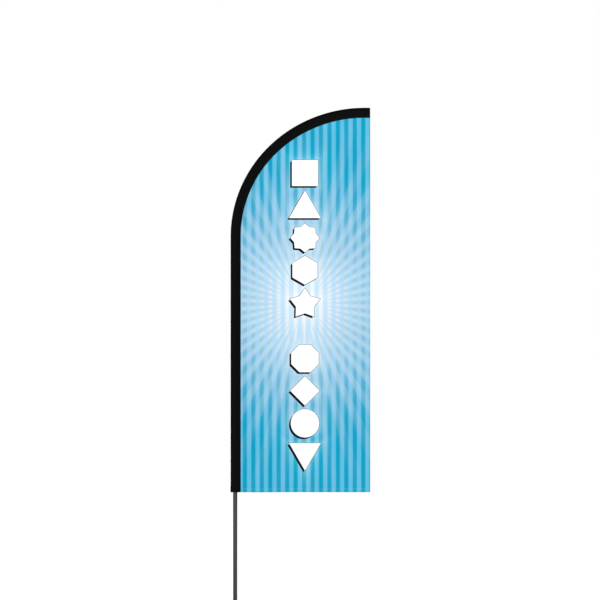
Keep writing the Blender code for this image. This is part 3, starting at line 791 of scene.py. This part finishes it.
def hem_rows(upright):
    """Rows of the strip on the back: from the fold (first column) to the raw edge."""
    low, high, steps = FLAG_LEFT + SLEEVE_WIDTH + 1 * MM, FLAG_RIGHT, 80
    if upright:
        low, high, steps = FLAG_BOTTOM, PANEL_TOP - 1 * MM, 200
    rows = []
    for k in range(steps + 1):
        along = low + (high - low) * k / steps
        from_corner = along - FLAG_BOTTOM if upright else FLAG_RIGHT - along
        width = min(HEM, max(from_corner, 0.4 * MM))
        inward = [width * i / HEM_ROWS for i in range(HEM_ROWS + 1)]
        if upright:
            rows.append([(FLAG_RIGHT - way, along) for way in inward])
        else:
            rows.append([(along, FLAG_BOTTOM + way) for way in inward])
    return rows


def hem_point(x, z, behind):
    return (x, fold_depth(x, z) + CLOTH / 2 + HEM_GAP + behind, z)


def make_hem(name, upright):
    points, faces, _, spots = sheet_grid(hem_rows(upright), CLOTH, hem_point)
    hem = new_piece(name, points, faces, [front_print], "flag", "printed_cloth")
    if upright:
        set_pattern(hem, [(2 * FLAG_RIGHT - x, z) for x, z in spots])
    else:
        set_pattern(hem, [(x, 2 * FLAG_BOTTOM - z) for x, z in spots])
    return hem


right_hem, bottom_hem = make_hem("right_hem", True), make_hem("bottom_hem", False)
print("hem faces", len(right_hem.data.polygons), len(bottom_hem.data.polygons))

# %% [markdown]
# ## Stitches
# A lockstitch shows as a row of short dashes, each pulled a little into the cloth at its ends. One
# helper lays a dash on any surface: it takes the dash's two ends and the way the surface faces, and
# makes a low capsule with a raised middle. The rows then only say where they run.

# %% Stitch helper
STITCH = 3.2 * MM
STITCH_PITCH = 4.4 * MM
THREAD = 0.34 * MM
STITCH_RINGS = (  # share of a dash's length, share of its girth, lift in threads
    (0.0, 0.25, -0.3), (0.2, 0.85, 0.15), (0.5, 1.0, 0.4), (0.8, 0.85, 0.15), (1.0, 0.25, -0.3),
)


def add_stitch(points, faces, start, end, outward):
    """A dash of thread from start to end, on a surface that faces outward."""
    start, end, outward = Vector(start), Vector(end), Vector(outward).normalized()
    along = (end - start).normalized()
    sideways = along.cross(outward)
    first = len(points)
    sides = 6
    for share, girth, lift in STITCH_RINGS:
        centre = start.lerp(end, share) + outward * lift * THREAD
        for k in range(sides):
            turn = 2 * math.pi * k / sides
            arm = outward * math.cos(turn) * 0.8 + sideways * math.sin(turn)
            points.append(centre + arm * girth * THREAD)
    for ring in range(len(STITCH_RINGS) - 1):
        for k in range(sides):
            a = first + ring * sides + k
            b = first + ring * sides + (k + 1) % sides
            faces.append((b, a, a + sides, b + sides))
    faces.append(tuple(first + k for k in range(sides)))
    last = first + (len(STITCH_RINGS) - 1) * sides
    faces.append(tuple(last + k for k in reversed(range(sides))))


def stitch_row(points, faces, spot, length):
    """Dashes along a line. spot(distance) gives a point on the surface and the way it faces."""
    for k in range(int(length / STITCH_PITCH)):
        distance = (k + 0.5) * STITCH_PITCH
        start, outward = spot(distance - STITCH / 2)
        end, _ = spot(distance + STITCH / 2)
        add_stitch(points, faces, start, end, outward)


# %% Hem stitching
def stitch_hems():
    """A row up the right hem and one along the bottom hem, on the front and on the back."""
    points, faces = [], []
    right, foot = FLAG_RIGHT - HEM + 2.5 * MM, FLAG_BOTTOM + HEM - 2.5 * MM
    left = FLAG_LEFT + SLEEVE_WIDTH + 2 * MM
    rows = ((right, foot, 0, PANEL_TOP - 8 * MM - foot), (left, foot, 1, right - left))
    for facing, stand in ((-1, CLOTH / 2), (1, CLOTH * 1.5 + HEM_GAP)):
        for start, height, level, length in rows:

            def along_hem(distance):
                x, z = start + distance * level, height + distance * (1 - level)
                return (x, fold_depth(x, z) + facing * stand, z), (0, facing, 0)

            stitch_row(points, faces, along_hem, length)
    return new_piece("hem_stitching", points, faces, [pale_thread], "flag", "printed_cloth")


hem_stitching = stitch_hems()
print("hem stitches", len(hem_stitching.data.polygons) // 26)

# %% [markdown]
# ## The sleeve
# The sleeve is a strip of heavy black cloth folded over the pole and sewn to the panel along both
# of its edges. Its section is round over the pole and flat at the seam. The section is swept up the
# straight pole, round the bend and out to the tip, getting slimmer as the rod does. Along the bend
# the inside of the strip is longer than it needs to be, so it puckers beside the seam. That is
# modelled as small waves that grow from nothing at the fold to full at the seam.

# %% Sleeve section and path
SLEEVE_CLOTH = 0.7 * MM
SLEEVE_EDGE = 1.5 * MM
LEAST_REACH = 0.45 * MM  # keeps the two layers apart inside
SECTION_STEPS = 18
STRAIGHT_STATIONS, BEND_STATIONS, END_STATIONS = 96, 150, 4
FULL_AT_POLE, FULL_AT_TIP = 11 * MM, 9.2 * MM


def sleeve_reach(u, inset, fullness):
    """Half the sleeve's thickness at u from its fold, to its outside."""
    if u < inset:
        bulge = max(math.sin(math.pi / 2 * u / inset), 0) ** 0.62
        return fullness * bulge
    flat = math.cos(math.pi / 2 * (u - inset) / (SLEEVE_WIDTH - inset))
    return SLEEVE_EDGE + (fullness - SLEEVE_EDGE) * max(flat, 0) ** 1.5


def pole_station(z):
    """(point finder, rod inset, fullness, curved share) at a height on the straight pole."""
    return (lambda u: (FLAG_LEFT + u, z), POLE_INSET, FULL_AT_POLE, 0.0)


def sleeve_stations():
    """The same for stations from mouth to tip, each with the seam's length so far."""
    rise = CURVE_START - FLAG_BOTTOM
    heights = [FLAG_BOTTOM + rise * k / STRAIGHT_STATIONS for k in range(STRAIGHT_STATIONS)]
    stations = [pole_station(height) for height in heights]
    for k in range(BEND_STATIONS + 1):
        t = k / BEND_STATIONS
        inset = POLE_INSET + (TIP_INSET - POLE_INSET) * eased(t)
        fullness = FULL_AT_POLE + (FULL_AT_TIP - FULL_AT_POLE) * eased(t)
        curved = math.sin(math.pi * min(t * 1.15, 1)) ** 2
        stations.append((lambda u, t=t: edge_point(t, u), inset, fullness, curved))
    end_x = FLAG_RIGHT - 0.4 * MM
    for k in range(1, END_STATIONS + 1):
        x = CORNER_CENTRE + (end_x - CORNER_CENTRE) * k / END_STATIONS
        stations.append((lambda u, x=x: (x, FLAG_TOP - u), TIP_INSET, FULL_AT_TIP, 0.0))
    finished = []
    length, last = 0.0, None
    for place, inset, fullness, curved in stations:
        here = Vector(place(SLEEVE_WIDTH))
        length += (here - last).length if last else 0.0
        last = here
        finished.append((place, inset, fullness, curved, length))
    return finished


STATIONS = sleeve_stations()
SEAM_LENGTH = STATIONS[-1][4]
print("sleeve seam", round(SEAM_LENGTH, 4), "m long,", len(STATIONS), "stations")


# %% Puckers
PUCKER_WAVE, DRAG_WAVE = 31 * MM, 210 * MM
PUCKER_STRAIGHT, PUCKER_BEND, DRAG = 0.18 * MM, 0.55 * MM, 0.35 * MM  # how high the waves are


def pucker(u, length, curved, side):
    """Waves in the sleeve beside its seam, and long soft drag lines over the pole."""
    near = eased((u - 20 * MM) / (20 * MM))
    fine = math.sin(length * 2 * math.pi / PUCKER_WAVE + 2.1 * math.sin(length * 9.3) + side)
    fine *= 0.5 + 0.5 * math.sin(length * 17.3 + side * 2)
    slow = math.sin(length * 2 * math.pi / DRAG_WAVE + u * 60 + side * 1.7)
    drag = math.sin(math.pi * min(u / SLEEVE_WIDTH, 1))
    return near * fine * (PUCKER_STRAIGHT + PUCKER_BEND * curved) + slow * drag * DRAG


def sleeve_point(station, u, side, inward=0.0):
    """A point of the sleeve. side is -1 in front, 1 behind; inward goes into the cloth."""
    place, inset, fullness, curved, length = station
    reach = sleeve_reach(u, inset, fullness) + pucker(u, length, curved, side)
    reach = max(reach - inward, LEAST_REACH if u > 1 * MM else 0)
    x, z = place(u + inward * max(1 - u / (6 * MM), 0))
    return (x, side * reach, z)


# %% The sleeve
BAND, BAND_HEIGHT, BAND_STEPS = 0.7 * MM, 27.8 * MM, 6  # the mouth's band: how proud, how tall
END_STEPS, END_BELLY = 12, 0.35 * MM


def mouth_station(height):
    return (*pole_station(height), height - FLAG_BOTTOM)


def section_spots():
    """(u, side) round the section: from the front seam to the fold and back to the rear seam."""
    shares = [1 - (k / SECTION_STEPS) for k in range(SECTION_STEPS)]
    half = [SLEEVE_WIDTH * share ** 1.6 for share in shares]
    return [(u, -1) for u in half] + [(0.0, -1)] + [(u, 1) for u in reversed(half)]


def sleeve_piece(name, spots, steps, thickness, place, turned_over=True):
    """Sleeve cloth over a number of steps along. place(number, k, behind) takes a spot's number.

    Returns the piece, its points, and how many of its first faces are its outside."""
    rows = [[(number, k) for number in range(len(spots))] for k in range(steps + 1)]
    points, faces, outside, _ = sheet_grid(rows, thickness, place)
    if turned_over:
        faces = [tuple(reversed(face)) for face in faces]
    return new_piece(name, points, faces, [sleeve_cloth], "flag", "black_cloth"), points, outside


def make_sleeve():
    spots = section_spots()

    def place(number, k, behind):
        return sleeve_point(STATIONS[k], *spots[number], behind)

    sleeve, points, outside = sleeve_piece("sleeve", spots, len(STATIONS) - 1, SLEEVE_CLOTH, place)
    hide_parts("pole_sleeve")
    area = sum(face.area for face in sleeve.data.polygons[:outside])
    girth = sum((Vector(points[k + 1]) - Vector(points[k])).length for k in range(len(spots) - 1))
    fold = len(spots) // 2
    run = [Vector(points[k * len(spots) + fold]) for k in range(len(STATIONS))]
    length = sum((after - before).length for before, after in zip(run, run[1:]))
    print("sleeve's girth", round(girth / MM, 1), "mm, its fold", round(length, 4), "m")
    return sleeve, girth, length, area


def make_mouth_hem():
    """A band of doubled cloth round the sleeve's mouth, with its two edges rounded."""
    spots = section_spots()
    heights = [FLAG_BOTTOM + 0.2 * MM + BAND_HEIGHT * k / BAND_STEPS for k in range(BAND_STEPS + 1)]

    def place(number, k, behind):
        rounded = 0.3 * MM if k in (0, BAND_STEPS) else 0.0
        return sleeve_point(mouth_station(heights[k]), *spots[number], behind - BAND + rounded)

    return sleeve_piece("mouth_hem", spots, BAND_STEPS, BAND - 0.05 * MM, place)[0]


def make_sleeve_end():
    """The sleeve's far end, closed by a turned-in flap that bellies out a little over the rod."""
    spots = [(u, side) for u, side in section_spots() if side < 0]

    def place(number, k, behind):
        u, side = spots[number]
        x, y, z = sleeve_point(STATIONS[-1], max(u, 0.8 * MM), side, SLEEVE_CLOTH)
        across = 1 - 2 * k / END_STEPS
        return (x + END_BELLY * (1 - across * across) - behind, y * across, z)

    return sleeve_piece("sleeve_end", spots, END_STEPS, SLEEVE_CLOTH * 0.8, place, False)[0]


sleeve, sleeve_girth, sleeve_length, sleeve_area = make_sleeve()
sleeve_end = make_sleeve_end()
mouth_hem = make_mouth_hem()


# %% Sleeve stitching
SEAM_ROWS = (2 * MM, 7.5 * MM)  # in from the seam
BAND_ROWS = (4 * MM, 25 * MM)  # up from the mouth


def on_sleeve(u, side):
    """A finder for stitch_row: a spot on the sleeve's outside at u, by distance along the seam."""
    lengths = [station[4] for station in STATIONS]

    def spot(distance):
        k = min(max(int(np.searchsorted(lengths, distance)), 1), len(lengths) - 1)
        share = (distance - lengths[k - 1]) / (lengths[k] - lengths[k - 1])
        before, after = (Vector(sleeve_point(STATIONS[j], u, side)) for j in (k - 1, k))
        return before.lerp(after, share), (0, side, 0)

    return spot


def stitch_sleeve():
    points, faces = [], []
    for side in (-1, 1):
        for inset in SEAM_ROWS:
            row = on_sleeve(SLEEVE_WIDTH - inset, side)
            stitch_row(points, faces, row, SEAM_LENGTH - 3 * MM)
        for row_height in BAND_ROWS:

            def across_band(distance):
                station = mouth_station(FLAG_BOTTOM + row_height)
                ahead, behind = (
                    Vector(sleeve_point(station, distance + reach * MM, side, -BAND))
                    for reach in (4.5, 3.5)
                )
                slope = ahead - behind
                return (ahead + behind) / 2, (-side * slope.y, side * slope.x, 0)

            stitch_row(points, faces, across_band, SLEEVE_WIDTH - 6 * MM)
    return new_piece("sleeve_stitching", points, faces, [black_thread], "flag", "black_cloth")


sleeve_stitching = stitch_sleeve()
print("sleeve stitches", len(sleeve_stitching.data.polygons) // 26)

# %% [markdown]
# ## The pole
# The lowest section is the only part of the pole that shows, so it is made again as a smooth drawn
# tube: an outline of its wall, turned about its own axis in 72 steps. The wall's edges at both ends
# are rounded, as a tube cutter and a tumbler leave them. The collar at its foot is turned the same
# way, with rounded edges and five shallow grip grooves.

# %% Turned pieces
TURN_STEPS = 72


def close_mesh(piece, sharp_angle):
    """Joins points that meet, turns the faces outwards and keeps sharp edges sharp."""
    mesh = bmesh.new()
    mesh.from_mesh(piece.data)
    bmesh.ops.remove_doubles(mesh, verts=mesh.verts, dist=1e-7)
    bmesh.ops.recalc_face_normals(mesh, faces=mesh.faces)
    mesh.to_mesh(piece.data)
    mesh.free()
    piece.data.set_sharp_from_angle(angle=math.radians(sharp_angle))


def turned(name, outline, material, body, slot, node):
    """An outline of (radius, height) turned about the pole's axis, in place of a node.

    It is closed by itself, or by the axis where it starts and ends there."""
    points, faces = [], []
    count = len(outline)
    solid = outline[0][0] == 0
    for k in range(TURN_STEPS):
        turn = 2 * math.pi * k / TURN_STEPS
        east, north = math.cos(turn), math.sin(turn)
        points += [(radius * east, radius * north, height) for radius, height in outline]
    for k in range(TURN_STEPS):
        here, there = k * count, (k + 1) % TURN_STEPS * count
        for i in range(count - 1 if solid else count):
            j = (i + 1) % count
            faces.append((here + i, here + j, there + j, there + i))
    piece = new_piece(name, points, faces, [material], body, slot)
    close_mesh(piece, 32)
    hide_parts(node)
    print(name, len(piece.data.polygons), "faces")


def corner(radius, height, out, up, edge, steps=3):
    """A rounded corner, from its side to its end. out and up say which way the corner points."""
    spots = []
    for step in range(steps + 1):
        angle = math.pi / 2 * step / steps
        inward, down = edge * (1 - math.cos(angle)), edge * (1 - math.sin(angle))
        spots.append((radius - out * inward, height - up * down))
    return spots


def wall_outline(inner, outer, bottom, top, edge, grooves=()):
    """Round a tube's wall, starting at the foot of its outside, with its edges rounded."""
    outline = list(reversed(corner(outer, bottom, 1, -1, edge)))
    for height, depth in grooves:
        for away, share in ((-1.3, 0), (-0.7, 0.8), (0, 1), (0.7, 0.8), (1.3, 0)):
            outline.append((outer - depth * share, height + away * MM))
    outline += corner(outer, top, 1, 1, edge)
    outline += list(reversed(corner(inner, top, -1, 1, edge)))
    return outline + corner(inner, bottom, -1, -1, edge)


# %% Tube and collar
tube_outline = wall_outline(8 * MM, 9.5 * MM, tube_low.z, tube_high.z, 0.4 * MM)
section = ("lower_pole_section", tube_outline, satin_tube)
turned(*section, "lower_pole", "black_tube", "lower_pole_tube")
collar_low, collar_high = box_corners("pole_collar")
grooves = [(collar_low.z + height * MM, 0.7 * MM) for height in (9, 14, 19, 24, 29)]
collar_outline = wall_outline(9.8 * MM, 12.5 * MM, collar_low.z, collar_high.z, 1.1 * MM, grooves)
turned("grip_collar", collar_outline, plastic, "lower_pole", "black_plastic", "pole_collar")

# %% [markdown]
# ## Housing and spindle
# The flanged housing holds two ball bearings and the spindle turns in it, which is what lets the
# flag swing with the wind. Both are turned steel parts, so both are outlines turned about the axis.
# A small fillet of weld joins the housing's barrel to its flange.

# %% Housing and spindle
SEAT, RIB = 11.3 * MM, 9 * MM
BARREL, FLANGE = 17 * MM, 35 * MM
housing_low, housing_high = box_corners("spindle_housing")
flange_low, flange_high = 37.3 * MM, 42.3 * MM
rib_low, rib_high = 27 * MM, 57 * MM
WELD = 2.2 * MM  # the fillet between barrel and flange
housing_outline = [
    (SEAT, housing_low.z), (BARREL, housing_low.z), (BARREL, flange_low),
    *reversed(corner(FLANGE, flange_low, 1, -1, 0.5 * MM)),
    *corner(FLANGE, flange_high, 1, 1, 1 * MM),
    *reversed(corner(BARREL, flange_high, -1, -1, WELD, 5)),
    *corner(BARREL, housing_high.z, 1, 1, 1.2 * MM),
    (SEAT, housing_high.z), (SEAT, rib_high), (RIB, rib_high), (RIB, rib_low), (SEAT, rib_low),
]
turned("bearing_housing", housing_outline, black_coat, "base", "black_paint", "spindle_housing")


def spindle_outline():
    """From the foot of the shaft, up its outside, to the top of the pin the pole slips over."""
    foot, shoulder, boss, pin = 4 * MM, 64.6 * MM, 5.8 * MM, 7.75 * MM
    low, high = 66.5 * MM, 72 * MM
    outline = [(0, 9 * MM), (foot - 0.6 * MM, 9 * MM), (foot, 9.6 * MM), (foot, shoulder)]
    outline += [(boss, shoulder), (boss, low)]
    outline += reversed(corner(13 * MM, low, 1, -1, 0.5 * MM))
    outline += corner(13 * MM, high, 1, 1, 0.8 * MM)
    outline.append((pin, high))
    groove = pin - 1.2 * MM  # where a grip ring sits
    for height in (92 * MM, 172 * MM):
        for radius, away in ((pin, -0.8), (groove, -0.8), (groove, 0.8), (pin, 0.8)):
            outline.append((radius, height + away * MM))
    outline += [(pin, 189 * MM), (pin - 0.6 * MM, 190.8 * MM), (pin - 2 * MM, 192 * MM)]
    return outline + [(0, 192 * MM)]


turned("turned_spindle", spindle_outline(), zinc, "spindle", "bare_steel", "spindle")

# %% [markdown]
# ## Rubber boots
# Each leg ends in a moulded rubber boot, pushed on over the tube. Its section is a rounded
# rectangle, thicker below where it carries the flag, and it is lofted along the leg: grooves for
# grip, a domed end, a rolled lip, and then back inside as the pocket that takes the tube. A loft
# gives all of that from one list of sections.

# %% Boots
PIVOT = 45 * MM  # each leg's pivot from the pole's axis, both ways
LEG_REACH = 350 * MM
BOOT_START, BOOT_END = LEG_REACH - 32 * MM, LEG_REACH + 8 * MM
BOOT_HALF, BOOT_TALL = 15.5 * MM, 35.5 * MM
POCKET_HALF, POCKET_MIDDLE = 12.7 * MM, 20 * MM


def rounded_section(half_width, low, high, radius):
    """(across, height) round a rectangle with rounded corners."""
    spots = []
    steps = 5
    corners = ((1, high), (-1, high), (-1, low), (1, low))
    for number, (side, level) in enumerate(corners):
        centre_across = side * (half_width - radius)
        centre_up = level - radius if level == high else level + radius
        for step in range(steps + 1):
            angle = math.pi / 2 * (number + step / steps)
            out, up = radius * math.cos(angle), radius * math.sin(angle)
            spots.append((centre_across + out, centre_up + up))
    return spots


def boot_sections():
    """(distance along the leg, inset from the full section) over the outside, from the lip."""
    lip = ((0.2, 1.4), (0, 0.8), (0.3, 0.2), (1, 0), (4, 0))
    outside = [(BOOT_START + along * MM, inset * MM) for along, inset in lip]
    for middle in (7, 12, 17, 22):
        for away, depth in ((-1.4, 0), (-0.9, 0.7), (0, 0.9), (0.9, 0.7), (1.4, 0)):
            outside.append((BOOT_START + (middle + away) * MM, depth * MM))
    dome = 4.5 * MM
    for step in range(7):
        angle = math.pi / 2 * step / 6
        outside.append((BOOT_END - dome * (1 - math.sin(angle)), dome * (1 - math.cos(angle))))
    return outside


def make_boot(name, toward_x, toward_y):
    points, faces = [], []

    def loop(distance, section):
        out = PIVOT + distance * math.sqrt(0.5)
        for across, height in section:
            sideways = across * math.sqrt(0.5)
            x, y = toward_x * out - toward_y * sideways, toward_y * out + toward_x * sideways
            points.append((x, y, height))

    pocket_low, pocket_high = POCKET_MIDDLE - POCKET_HALF, POCKET_MIDDLE + POCKET_HALF
    pocket = rounded_section(POCKET_HALF, pocket_low, pocket_high, 1.5 * MM)
    loop(LEG_REACH, pocket)
    loop(BOOT_START + 0.8 * MM, pocket)
    for distance, inset in boot_sections():
        loop(distance, rounded_section(BOOT_HALF - inset, inset, BOOT_TALL - inset, 3.2 * MM))
    around = len(pocket)
    loops = len(points) // around
    for ring in range(loops - 1):
        for k in range(around):
            a, b = ring * around + k, ring * around + (k + 1) % around
            faces.append((a, b, b + around, a + around))
    faces.append(tuple(reversed(range(around))))
    faces.append(tuple((loops - 1) * around + k for k in range(around)))
    boot = new_piece("rubber_boot_" + name, points, faces, [rubber], "leg_" + name, "black_rubber")
    close_mesh(boot, 45)
    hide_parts("boot_" + name)


BOOTS = {"rear_right": (1, 1), "rear_left": (-1, 1), "front_left": (-1, -1), "front_right": (1, -1)}
for boot_name, way in BOOTS.items():
    make_boot(boot_name, *way)
print(len(BOOTS), "boots")

# %% [markdown]
# ## Finishes for the machined and moulded parts
# The rigid parts keep their model's shape. Each gets the finish of its material: powder coat on
# the folded steel, satin anodising on the tube, zinc on the fasteners, bare ground steel in the
# bearings. The finish goes to the part's own material slots. The sharp edges of the painted and
# the plated parts are broken by a small bevel, because a real edge always catches some light.

# %% Finishes by material slot
FINISHES = {
    "printed_cloth": front_print,
    "black_cloth": sleeve_cloth,
    "black_tube": satin_tube,
    "insert_aluminium": raw_aluminium,
    "glass_fibre": fibre,
    "black_paint": black_coat,
    "bare_steel": steel,
    "zinc_plate": zinc,
    "black_rubber": rubber,
    "black_plastic": plastic,
}
SOFT_EDGES = {"black_paint": 0.9 * MM, "zinc_plate": 0.25 * MM}  # how far sharp edges are broken


def soften(node, width):
    """Breaks a part's sharp edges, so that they catch the light, without touching its own mesh."""
    weld = node.modifiers.new("weld", "WELD")
    weld.merge_threshold = 0.001 * MM
    edges = node.modifiers.new("edges", "BEVEL")
    edges.width = width
    edges.segments = 2
    edges.limit_method = "ANGLE"
    edges.angle_limit = math.radians(40)
    edges.harden_normals = True


WORN = {"leg": leg_coat, "hub": plate_coat}  # by the first word of a painted part's name

for node_name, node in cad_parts.items():
    for place in node.material_slots:
        slot_name = place.material.name.split(".")[0]
        place.material = FINISHES[slot_name]
        if slot_name == "black_paint":
            place.material = WORN.get(node_name.split("_")[0], black_coat)
        if slot_name in SOFT_EDGES and not node.hide_render:
            soften(node, SOFT_EDGES[slot_name])
print("finished", len(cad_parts), "rigid parts")

# %% [markdown]
# ## Floor
# A plain pale floor, far larger than the base, so that it fills the view and takes a soft shadow.
# It glows a little, more so far away, so that it runs into the white surroundings with no horizon
# and still shows where the legs touch it.

# %% Floor
FLOOR_RADIUS, FLOOR_SIDES = 60.0, 96
FLOOR_GLOW = 0.47  # far from the base
GLOW_NEAR = 0.4  # share of the glow near the base
GLOW_START, GLOW_WIDTH = 0.4, 1.6  # metres from the base


def make_floor():
    mesh = bpy.data.meshes.new("floor")
    turns = [2 * math.pi * k / FLOOR_SIDES for k in range(FLOOR_SIDES)]
    rim = [(FLOOR_RADIUS * math.cos(turn), FLOOR_RADIUS * math.sin(turn), 0) for turn in turns]
    mesh.from_pydata(rim, [], [tuple(range(FLOOR_SIDES))])
    fixed = {"Base_Color": grey(0.84), "Specular_IOR_Level": 0.1, "Emission_Strength": FLOOR_GLOW}
    material, shader, maths = new_finish("pale_floor", 0.9, **fixed)
    x, y, _ = split_place(maths)
    away = ((x * x + y * y).maths("SQRT") - GLOW_START) / GLOW_WIDTH
    feed(shader, "Emission Color", away.clamped().mixed(grey(GLOW_NEAR), grey(1.0)))
    mesh.materials.append(material)
    floor = bpy.data.objects.new("floor", mesh)
    bpy.context.scene.collection.objects.link(floor)


make_floor()
